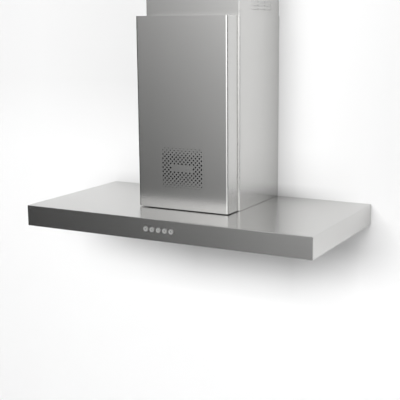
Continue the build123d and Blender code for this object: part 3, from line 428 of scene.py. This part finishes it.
STEEL = (0.6, 0.598, 0.588)
casing_steel = metal_material("casing_steel", STEEL, 0.26, BRUSHED, bump=0.004, Along=9.0, Across=2600.0)
tray_steel = metal_material("tray_steel", (0.58, 0.578, 0.57), 0.33, BRUSHED, Along=9.0, Across=2200.0)
zinc_steel = metal_material(
    "zinc_steel", (0.5, 0.52, 0.53), 0.42, SPANGLE, tone=0.16, gloss_change=0.1, Size=150.0
)
filter_metal = metal_material("filter_metal", (0.68, 0.68, 0.69), 0.36, BRUSHED, Along=12.0, Across=1500.0)
filter_mesh = metal_material("filter_mesh", (0.5, 0.5, 0.51), 0.42, SPANGLE, tone=0.25, bump=0.3, Size=900.0)
strand_metal = metal_material("strand_metal", (0.72, 0.72, 0.73), 0.3, BRUSHED, Along=300.0, Across=900.0)
lamp_metal = metal_material(
    "lamp_metal", (0.5, 0.5, 0.51), 0.5, BRUSHED, tone=0.08, Along=200.0, Across=900.0
)
bezel_metal = metal_material("bezel_metal", (0.72, 0.72, 0.73), 0.16, BRUSHED, Along=200.0, Across=1200.0)
button_metal = metal_material(
    "button_metal", (0.86, 0.855, 0.845), 0.38, RINGS, tone=0.05, bump=0.08,
    Pitch=BUTTON_PITCH, Height=BUTTON_HEIGHT, Face=BUTTON_FACE,
)
fastener_metal = metal_material(
    "fastener", (0.6, 0.6, 0.59), 0.3, BRUSHED, tone=0.06, Along=400.0, Across=900.0
)
motor_metal = metal_material("motor_metal", (0.3, 0.31, 0.32), 0.45, SPANGLE, tone=0.1, Size=700.0)
dark_plastic = plastic_material("dark_plastic", (0.035, 0.035, 0.037), 0.5)
grey_plastic = plastic_material("grey_plastic", (0.42, 0.43, 0.44), 0.48)
white_plastic = plastic_material("white_plastic", (0.8, 0.8, 0.78), 0.4)
led_resin = plastic_material("led_resin", (0.78, 0.6, 0.12), 0.3, grain_size=3000.0)
mark_ink = plastic_material("mark_ink", (0.07, 0.07, 0.075), 0.55, grain_size=5000.0)
board_lacquer = plastic_material("board_lacquer", (0.02, 0.12, 0.05), 0.35)
rubber_black = plastic_material("rubber_black", (0.02, 0.02, 0.02), 0.75)
lamp_glass = frosted_glass("lamp_glass")

SLOT_LOOKS = {
    "casing_steel": casing_steel,
    "tray_steel": tray_steel,
    "zinc_steel": zinc_steel,
    "filter_metal": filter_metal,
    "filter_mesh": filter_mesh,
    "lamp_metal": lamp_metal,
    "bezel_metal": bezel_metal,
    "lamp_glass": lamp_glass,
    "button_metal": button_metal,
    "dark_plastic": dark_plastic,
    "grey_plastic": grey_plastic,
    "board": board_lacquer,
    "rubber": rubber_black,
    "motor_metal": motor_metal,
    "fastener": fastener_metal,
}
for entry in frame["record"]["subparts"]:
    node = frame["nodes"][entry["node"]]
    node.data.materials.clear()
    node.data.materials.append(SLOT_LOOKS[entry["material_slot"]])


# Pieces that repeat, made with geometry nodes

GEOMETRY, MATERIAL, COUNT = "NodeSocketGeometry", "NodeSocketMaterial", "NodeSocketInt"


def geometry_node(tree, kind, output, **values):
    """A geometry node with its sockets set by name, underscores standing for spaces."""
    node = tree.nodes.new(kind)
    for label, value in values.items():
        feed(tree, value, node.inputs[label.replace("_", " ")])
    return node.outputs[output]


def end_tree(tree, given, made, points, shape, rotation=(0.0, 0.0, 0.0)):
    """The end of each tree: one shape on every point, made real and given its finish."""
    laid = geometry_node(
        tree, "GeometryNodeInstanceOnPoints", "Instances", Points=points, Instance=shape, Rotation=rotation
    )
    real = geometry_node(tree, "GeometryNodeRealizeInstances", "Geometry", Geometry=laid)
    looks = geometry_node(
        tree, "GeometryNodeSetMaterial", "Geometry", Geometry=real, Material=given.outputs["Finish"]
    )
    link(tree, looks, made.inputs["Geometry"])


def outward(mesh):
    work = bmesh.new()
    work.from_mesh(mesh)
    bmesh.ops.recalc_face_normals(work, faces=work.faces)
    work.to_mesh(mesh)
    work.free()


def add_piece(name, mesh, body, smooth=False):
    outward(mesh)
    mesh.polygons.foreach_set("use_smooth", [smooth] * len(mesh.polygons))
    piece = bpy.data.objects.new(name, mesh)
    bpy.context.scene.collection.objects.link(piece)
    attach(piece, body)


def grown_mesh(name, tree, **values):
    """The plain mesh that a geometry tree makes with these inputs."""
    holder = bpy.data.objects.new(name, bpy.data.meshes.new(name))
    bpy.context.scene.collection.objects.link(holder)
    modifier = holder.modifiers.new("grow", "NODES")
    modifier.node_group = tree
    sockets = {s.name: s.identifier for s in tree.interface.items_tree if s.in_out == "INPUT"}
    for label, value in values.items():
        modifier[sockets[label.replace("_", " ")]] = value
    shown = holder.evaluated_get(bpy.context.evaluated_depsgraph_get())
    mesh = bpy.data.meshes.new_from_object(shown)
    bpy.data.objects.remove(holder)
    return mesh


def strand_net_tree():
    """Stretched metal net: rows of diamond links, left out where the latch box stands."""
    tree, given, made = new_group(
        "strand_net",
        [
            ("Middle", VECTOR, (0.0, 0.0, 0.0)),
            ("Width", FLOAT, 0.27),
            ("Depth", FLOAT, 0.23),
            ("Links Across", COUNT, 30),
            ("Links Deep", COUNT, 50),
            ("Strand", FLOAT, 0.00035),
            ("Tilt", FLOAT, 0.07),
            ("Latch Half Width", FLOAT, 0.025),
            ("Latch Rear", FLOAT, -0.31),
            ("Finish", MATERIAL, None),
        ],
        [("Geometry", GEOMETRY)],
        "GeometryNodeTree",
    )
    inputs = given.outputs
    link_wide = math_node(tree, "DIVIDE", inputs["Width"], inputs["Links Across"])
    link_deep = math_node(tree, "DIVIDE", inputs["Depth"], inputs["Links Deep"])
    grid = geometry_node(
        tree, "GeometryNodeMeshGrid", "Mesh",
        Size_X=math_node(tree, "SUBTRACT", inputs["Width"], link_wide),
        Size_Y=math_node(tree, "SUBTRACT", inputs["Depth"], link_deep),
        Vertices_X=inputs["Links Across"], Vertices_Y=inputs["Links Deep"],
    )
    x, y, _ = split(tree, tree.nodes.new("GeometryNodeInputPosition").outputs[0])
    _, middle_y, _ = split(tree, inputs["Middle"])
    half_link = product(tree, link_deep, 0.5)
    wide = math_node(tree, "ADD", inputs["Latch Half Width"], product(tree, link_wide, 0.5))
    rear = math_node(tree, "ADD", inputs["Latch Rear"], half_link)
    beside = math_node(tree, "LESS_THAN", math_node(tree, "ABSOLUTE", x), wide)
    ahead = math_node(tree, "LESS_THAN", math_node(tree, "ADD", y, middle_y), rear)
    clear = geometry_node(
        tree, "GeometryNodeDeleteGeometry", "Geometry",
        Geometry=grid, Selection=product(tree, beside, ahead),
    )
    points = geometry_node(
        tree, "GeometryNodeTransform", "Geometry", Geometry=clear, Translation=inputs["Middle"]
    )
    outline = tree.nodes.new("GeometryNodeCurvePrimitiveQuadrilateral")
    outline.mode = "KITE"
    link(tree, link_wide, outline.inputs["Width"])
    for label in ("Bottom Height", "Top Height"):
        link(tree, half_link, outline.inputs[label])
    wire = geometry_node(
        tree, "GeometryNodeCurvePrimitiveCircle", "Curve", Resolution=4, Radius=inputs["Strand"]
    )
    shape = geometry_node(
        tree, "GeometryNodeCurveToMesh", "Mesh", Curve=outline.outputs["Curve"], Profile_Curve=wire
    )
    end_tree(tree, given, made, points, shape, joined(tree, inputs["Tilt"], 0.0))
    return tree


def led_ring_tree():
    """A ring of small light sources: a flat case with a domed resin drop below it."""
    tree, given, made = new_group(
        "led_ring",
        [
            ("Middle", VECTOR, (0.0, 0.0, 0.0)),
            ("Ring", FLOAT, 0.015),
            ("Number", COUNT, 9),
            ("Case", VECTOR, (0.003, 0.003, 0.0008)),
            ("Drop", FLOAT, 0.0012),
            ("Finish", MATERIAL, None),
        ],
        [("Geometry", GEOMETRY)],
        "GeometryNodeTree",
    )
    inputs = given.outputs
    ring = geometry_node(
        tree, "GeometryNodeMeshCircle", "Mesh", Vertices=inputs["Number"], Radius=inputs["Ring"]
    )
    points = geometry_node(
        tree, "GeometryNodeTransform", "Geometry", Geometry=ring, Translation=inputs["Middle"]
    )
    case = geometry_node(tree, "GeometryNodeMeshCube", "Mesh", Size=inputs["Case"])
    drop = geometry_node(
        tree, "GeometryNodeMeshUVSphere", "Mesh", Segments=8, Rings=4, Radius=inputs["Drop"]
    )
    both = tree.nodes.new("GeometryNodeJoinGeometry")
    link(tree, case, both.inputs[0])
    link(tree, drop, both.inputs[0])
    end_tree(tree, given, made, points, both.outputs[0])
    return tree


NET = strand_net_tree()
LEDS = led_ring_tree()

# Filters: a net in each window, just inside the edge of the core

NET_LEVEL = 0.0084
NET_LIP = 0.0054
NET_LINKS_ACROSS = 30
NET_LINKS_DEEP = 50
NET_STRAND = 0.00035
NET_TILT = 0.07
LATCH_HALF_WIDTH = 0.0254
LATCH_BOX_REAR = -0.3098
for word in ("left", "right"):
    core_low, core_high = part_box(f"filter_core_{word}")
    middle = ((core_low.x + core_high.x) / 2, (core_low.y + core_high.y) / 2, NET_LEVEL)
    net = grown_mesh(
        f"filter_net_{word}", NET, Middle=middle, Width=core_high.x - core_low.x - NET_LIP,
        Depth=core_high.y - core_low.y - NET_LIP, Links_Across=NET_LINKS_ACROSS, Links_Deep=NET_LINKS_DEEP,
        Strand=NET_STRAND, Tilt=NET_TILT, Latch_Half_Width=LATCH_HALF_WIDTH, Latch_Rear=LATCH_BOX_REAR,
        Finish=strand_metal,
    )
    add_piece(f"filter_net_{word}", net, f"filter_{word}")


# Lamps: a white dish and two rings of light sources behind each lens


def spun_mesh(name, middle, outline, steps, material):
    """A ring turned about the upright line through middle; outline is a closed loop of (radius, height)."""
    verts = []
    faces = []
    count = len(outline)
    for i in range(steps):
        turn = 2 * math.pi * i / steps
        for radius, height in outline:
            verts.append((middle[0] + radius * math.cos(turn), middle[1] + radius * math.sin(turn), height))
        for j in range(count):
            ahead = (i + 1) % steps
            after = (j + 1) % count
            faces.append((i * count + j, ahead * count + j, ahead * count + after, i * count + after))
    mesh = bpy.data.meshes.new(name)
    mesh.from_pydata(verts, [], faces)
    mesh.materials.append(material)
    return mesh


DISH_OUTLINE = [
    (0.0255, 0.0094), (0.0252, 0.0094), (0.0215, 0.0138), (0.0005, 0.0142), (0.0005, 0.0147),
    (0.0222, 0.0147), (0.0255, 0.0104),
]
DISH_STEPS = 48
LED_LEVEL = 0.0132
LED_RINGS = {"outer": (0.0155, 12), "inner": (0.0075, 6)}
for word in ("left", "right"):
    lens_low, lens_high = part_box(f"lamp_lens_{word}")
    middle = ((lens_low.x + lens_high.x) / 2, (lens_low.y + lens_high.y) / 2)
    dish = spun_mesh(f"lamp_dish_{word}", middle, DISH_OUTLINE, DISH_STEPS, white_plastic)
    add_piece(f"lamp_dish_{word}", dish, "hood")
    for label, (ring, number) in LED_RINGS.items():
        leds = grown_mesh(
            f"lamp_leds_{label}_{word}", LEDS, Middle=(*middle, LED_LEVEL), Ring=ring, Number=number,
            Finish=led_resin,
        )
        add_piece(f"lamp_leds_{label}_{word}", leds, "hood")


# Button marks: printed signs on the dished faces

MARK_PROUD = 0.00006
MARK_SUNK = 0.00005
MARK_LINE = 0.0005
BULB_RADIUS = 0.0015
BULB_HEIGHT = 0.0004
BULB_CAP_HALF = 0.0007
BULB_CAP_HEIGHTS = (-0.0014, -0.0022)
BULB_RAYS = (10, 50, 90, 130, 170)
BULB_RAY_FROM = 0.0023
BULB_RAY_TO = 0.0031
OFF_RADIUS = 0.0021
OFF_STROKE = (0.0006, 0.0028)
SPEED_PITCH = 0.0013
SPEED_HALF = 0.0018
SPEED_LINE = 0.0007


def bar(x0, z0, x1, z1, width=MARK_LINE):
    """A straight stroke, as pairs of points on its two edges."""
    run = Vector((x1 - x0, z1 - z0)).normalized()
    aside = Vector((-run.y, run.x)) * width / 2
    return [(end - aside, end + aside) for end in (Vector((x0, z0)), Vector((x1, z1)))]


def arc(radius, first, last, z=0.0, width=MARK_LINE, steps=24):
    """A stroke along part of a circle, angles in degrees from the right, counter-clockwise."""
    pairs = []
    for i in range(steps + 1):
        turn = math.radians(first + (last - first) * i / steps)
        run = Vector((math.cos(turn), math.sin(turn)))
        pairs.append(tuple(Vector((0.0, z)) + run * r for r in (radius - width / 2, radius + width / 2)))
    return pairs


def lamp_sign():
    """A bulb with its cap below and rays round its upper half."""
    strokes = [arc(BULB_RADIUS, -60, 240, BULB_HEIGHT)]
    strokes += [bar(-BULB_CAP_HALF, z, BULB_CAP_HALF, z) for z in BULB_CAP_HEIGHTS]
    for turn in BULB_RAYS:
        run = Vector((math.cos(math.radians(turn)), math.sin(math.radians(turn))))
        start, end = (Vector((0.0, BULB_HEIGHT)) + run * reach for reach in (BULB_RAY_FROM, BULB_RAY_TO))
        strokes.append(bar(*start, *end))
    return strokes


def off_sign():
    """An open ring with a stroke in its gap."""
    low, high = OFF_STROKE
    return [arc(OFF_RADIUS, -235, 55), bar(0.0, low, 0.0, high)]


def speed_sign(number):
    """As many upright strokes as the number of the speed."""
    places = [(i - (number - 1) / 2) * SPEED_PITCH for i in range(number)]
    return [bar(x, -SPEED_HALF, x, SPEED_HALF, SPEED_LINE) for x in places]


def sign_mesh(name, x, dish_floor, strokes):
    """A printed sign: each stroke is a flat closed strip in the dish of its button."""
    verts = []
    faces = []
    for pairs in strokes:
        front = len(verts)
        back = front + 2 * len(pairs)
        for y in (dish_floor - MARK_PROUD, dish_floor + MARK_SUNK):
            verts += [(x + p.x, y, BUTTON_HEIGHT + p.y) for pair in pairs for p in pair]
        for i in range(0, 2 * len(pairs) - 2, 2):
            faces += [tuple(layer + i + step for step in (0, 1, 3, 2)) for layer in (front, back)]
            faces += [(front + i + s, front + i + s + 2, back + i + s + 2, back + i + s) for s in (0, 1)]
        faces += [(front + i, front + i + 1, back + i + 1, back + i) for i in (0, 2 * len(pairs) - 2)]
    mesh = bpy.data.meshes.new(name)
    mesh.from_pydata(verts, [], faces)
    mesh.materials.append(mark_ink)
    return mesh


BUTTON_SIGNS = {
    "light": lamp_sign(),
    "off": off_sign(),
    "low": speed_sign(1),
    "mid": speed_sign(2),
    "high": speed_sign(3),
}
for word, strokes in BUTTON_SIGNS.items():
    cap_low, cap_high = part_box(f"button_{word}")
    sign = sign_mesh(f"sign_{word}", (cap_low.x + cap_high.x) / 2, cap_low.y + BUTTON_DISH, strokes)
    add_piece(f"sign_{word}", sign, f"button_{word}")


# Room: a pale wall and floor, seen from the inside only


def room_face(name, corners):
    """A flat sheet of the room, with shade painted into its colour and glow where the hood comes near it."""
    mesh = bpy.data.meshes.new(name)
    mesh.from_pydata(corners, [], [(0, 1, 2, 3)])
    sheet = bpy.data.objects.new(name, mesh)
    bpy.context.scene.collection.objects.link(sheet)
    material, tree, principled = blank_material(name)
    # Painted shade: an occlusion node darkens the colour close to the hood, and fixed patches to the hood's
    # left, right and under it darken it further.
    corner = tree.nodes.new("ShaderNodeAmbientOcclusion")
    corner.inputs["Distance"].default_value = CONTACT_REACH
    place = tree.nodes.new("ShaderNodeTexCoord")
    across, _, up = split(tree, place.outputs["Object"])
    near = product(
        tree, spread(tree, across, 0.0, 1.0, *CONTACT_COMES),
        spread(tree, across, 1.0, 0.0, *CONTACT_GOES), spread(tree, up, 1.0, CONTACT_ABOVE, *CONTACT_THINS),
    )
    contact = product(tree, near, math_node(tree, "SUBTRACT", 1.0, corner.outputs["AO"]))
    left = product(
        tree, spread(tree, across, LEFT_SHADE_FAR, LEFT_SHADE, *LEFT_COMES),
        spread(tree, across, 1.0, 0.0, *LEFT_GOES), spread(tree, up, 0.0, 1.0, *LEFT_RISES),
    )
    right = product(
        tree, spread(tree, across, 0.0, RIGHT_SHADE, *RIGHT_COMES), spread(tree, up, 0.0, 1.0, *RIGHT_RISES)
    )
    under = product(
        tree, spread(tree, across, 0.0, UNDER_SHADE, *UNDER_COMES),
        spread(tree, across, 1.0, 0.0, *UNDER_GOES), spread(tree, up, 0.0, 1.0, *UNDER_RISES),
        spread(tree, up, 1.0, 0.0, *CONTACT_THINS),
    )
    around = math_node(tree, "ADD", math_node(tree, "ADD", left, right), under)
    around = product(tree, around, 1.0 / CONTACT_DEPTH)
    painted_lightness = math_node(tree, "SUBTRACT", 1.0, math_node(tree, "ADD", contact, around), clamp=True)
    shaded = WALL_GREY * (1 - CONTACT_DEPTH)
    plain = tinted(tree, painted_lightness, (shaded, shaded, shaded), (WALL_GREY, WALL_GREY, WALL_GREY))
    link(tree, plain, principled.inputs["Base Color"])
    principled.inputs["Roughness"].default_value = WALL_ROUGH
    principled.inputs["Specular IOR Level"].default_value = WALL_SHEEN
    principled.inputs["Emission Color"].default_value = (1.0, 1.0, 1.0, 1.0)
    rays = tree.nodes.new("ShaderNodeLightPath")
    seen = math_node(tree, "ADD", rays.outputs["Is Camera Ray"], rays.outputs["Is Glossy Ray"])
    seen = math_node(tree, "ADD", seen, rays.outputs["Is Transmission Ray"], clamp=True)
    # The glow that keeps the wall white to the camera and to shiny metal is dimmed by the same painted
    # shade, so the metal mirrors that shade too.
    lift = spread(tree, painted_lightness, WALL_LIFT * (1 - CONTACT_DEPTH), WALL_LIFT)
    link(tree, product(tree, seen, lift), principled.inputs["Emission Strength"])
    behind = tree.nodes.new("ShaderNodeNewGeometry")
    clear = tree.nodes.new("ShaderNodeBsdfTransparent")
    mix = tree.nodes.new("ShaderNodeMixShader")
    link(tree, behind.outputs["Backfacing"], mix.inputs["Fac"])
    link(tree, principled.outputs["BSDF"], mix.inputs[1])
    link(tree, clear.outputs["BSDF"], mix.inputs[2])
    link(tree, mix.outputs["Shader"], tree.nodes["Material Output"].inputs["Surface"])
    mesh.materials.append(material)


room_face(
    "floor",
    [
        (-FLOOR_HALF, FLOOR_FRONT, FLOOR_LEVEL),
        (FLOOR_HALF, FLOOR_FRONT, FLOOR_LEVEL),
        (FLOOR_HALF, WALL_GAP, FLOOR_LEVEL),
        (-FLOOR_HALF, WALL_GAP, FLOOR_LEVEL),
    ],
)
room_face(
    "wall",
    [
        (-FLOOR_HALF, WALL_GAP, FLOOR_LEVEL),
        (FLOOR_HALF, WALL_GAP, FLOOR_LEVEL),
        (FLOOR_HALF, WALL_GAP, WALL_TOP),
        (-FLOOR_HALF, WALL_GAP, WALL_TOP),
    ],
)


# Light: one soft lamp, and a studio that only shiny metal sees


def soft_light(name, place, target, wide, tall, power):
    """A wide lamp aimed at target; shiny metal sees the studio in its stead."""
    lamp = bpy.data.lights.new(name, "AREA")
    lamp.shape = "ELLIPSE"
    lamp.size = wide
    lamp.size_y = tall
    lamp.energy = power
    holder = bpy.data.objects.new(name, lamp)
    bpy.context.scene.collection.objects.link(holder)
    holder.location = place
    aim = Vector(target) - Vector(place)
    holder.rotation_euler = aim.to_track_quat("-Z", "Y").to_euler()
    holder.visible_camera = False
    holder.visible_glossy = False


soft_light("key_light", KEY_PLACE, KEY_AIM, KEY_WIDE, KEY_TALL, KEY_POWER)


def brightness_ramp(tree, angle, stops, low, high):
    """Brightness read off stops of (degrees, brightness) between low and high degrees."""
    place = tree.nodes.new("ShaderNodeMapRange")
    place.inputs["From Min"].default_value = math.radians(low)
    place.inputs["From Max"].default_value = math.radians(high)
    link(tree, angle, place.inputs["Value"])
    ramp = tree.nodes.new("ShaderNodeValToRGB")
    elements = ramp.color_ramp.elements
    while len(elements) < len(stops):
        elements.new(0.5)
    for element, (degrees, value) in zip(elements, stops):
        element.position = (degrees - low) / (high - low)
        element.color = (value, value, value, 1.0)
    link(tree, place.outputs["Result"], ramp.inputs["Fac"])
    return ramp.outputs["Color"]


world = bpy.data.worlds.new("studio")
bpy.context.scene.world = world
world.use_nodes = True
studio = world.node_tree
toward = studio.nodes.new("ShaderNodeTexCoord")
east, north, rise = split(studio, toward.outputs["Generated"])
round_angle = math_node(studio, "ARCTAN2", east, product(studio, north, -1.0))
up_angle = math_node(studio, "ARCSINE", rise)
mirrored = product(
    studio,
    brightness_ramp(studio, round_angle, STUDIO_ROUND, -180, 180),
    brightness_ramp(studio, up_angle, STUDIO_UP, -90, 90),
)
most = brightness_ramp(studio, up_angle, STUDIO_MOST, -90, 90)
mirrored = math_node(studio, "MINIMUM", mirrored, most)
rays = studio.nodes.new("ShaderNodeLightPath")
seen = math_node(
    studio, "ADD", rays.outputs["Is Camera Ray"], rays.outputs["Is Transmission Ray"], clamp=True
)
glow = studio.nodes.new("ShaderNodeMix")
glow.inputs["A"].default_value = ROOM_GLOW
link(studio, mirrored, glow.inputs["B"])
link(studio, rays.outputs["Is Glossy Ray"], glow.inputs["Factor"])
strength = studio.nodes.new("ShaderNodeMix")
link(studio, glow.outputs["Result"], strength.inputs["A"])
strength.inputs["B"].default_value = BACKGROUND_GLOW
link(studio, seen, strength.inputs["Factor"])
background = studio.nodes["Background"]
background.inputs["Color"].default_value = (1.0, 1.0, 1.0, 1.0)
link(studio, strength.outputs["Result"], background.inputs["Strength"])

# Camera
yaw, pitch, roll = (math.radians(v) for v in (CAMERA_YAW, CAMERA_PITCH, CAMERA_ROLL))
ahead = Vector((math.sin(yaw) * math.cos(pitch), math.cos(yaw) * math.cos(pitch), math.sin(pitch)))
level_right = Vector((math.cos(yaw), -math.sin(yaw), 0.0))
level_up = level_right.cross(ahead)
right = level_right * math.cos(roll) + level_up * math.sin(roll)
up = level_up * math.cos(roll) - level_right * math.sin(roll)
camera = bpy.data.objects.new("camera", bpy.data.cameras.new("camera"))
bpy.context.scene.collection.objects.link(camera)
turned = Matrix((right, up, -ahead)).transposed().to_4x4()
camera.matrix_world = Matrix.Translation(CAMERA_PLACE) @ turned
camera.data.lens = LENS
camera.data.sensor_width = SENSOR
camera.data.shift_x = SHIFT_X
bpy.context.scene.camera = camera
bpy.context.scene.view_settings.view_transform = "Standard"
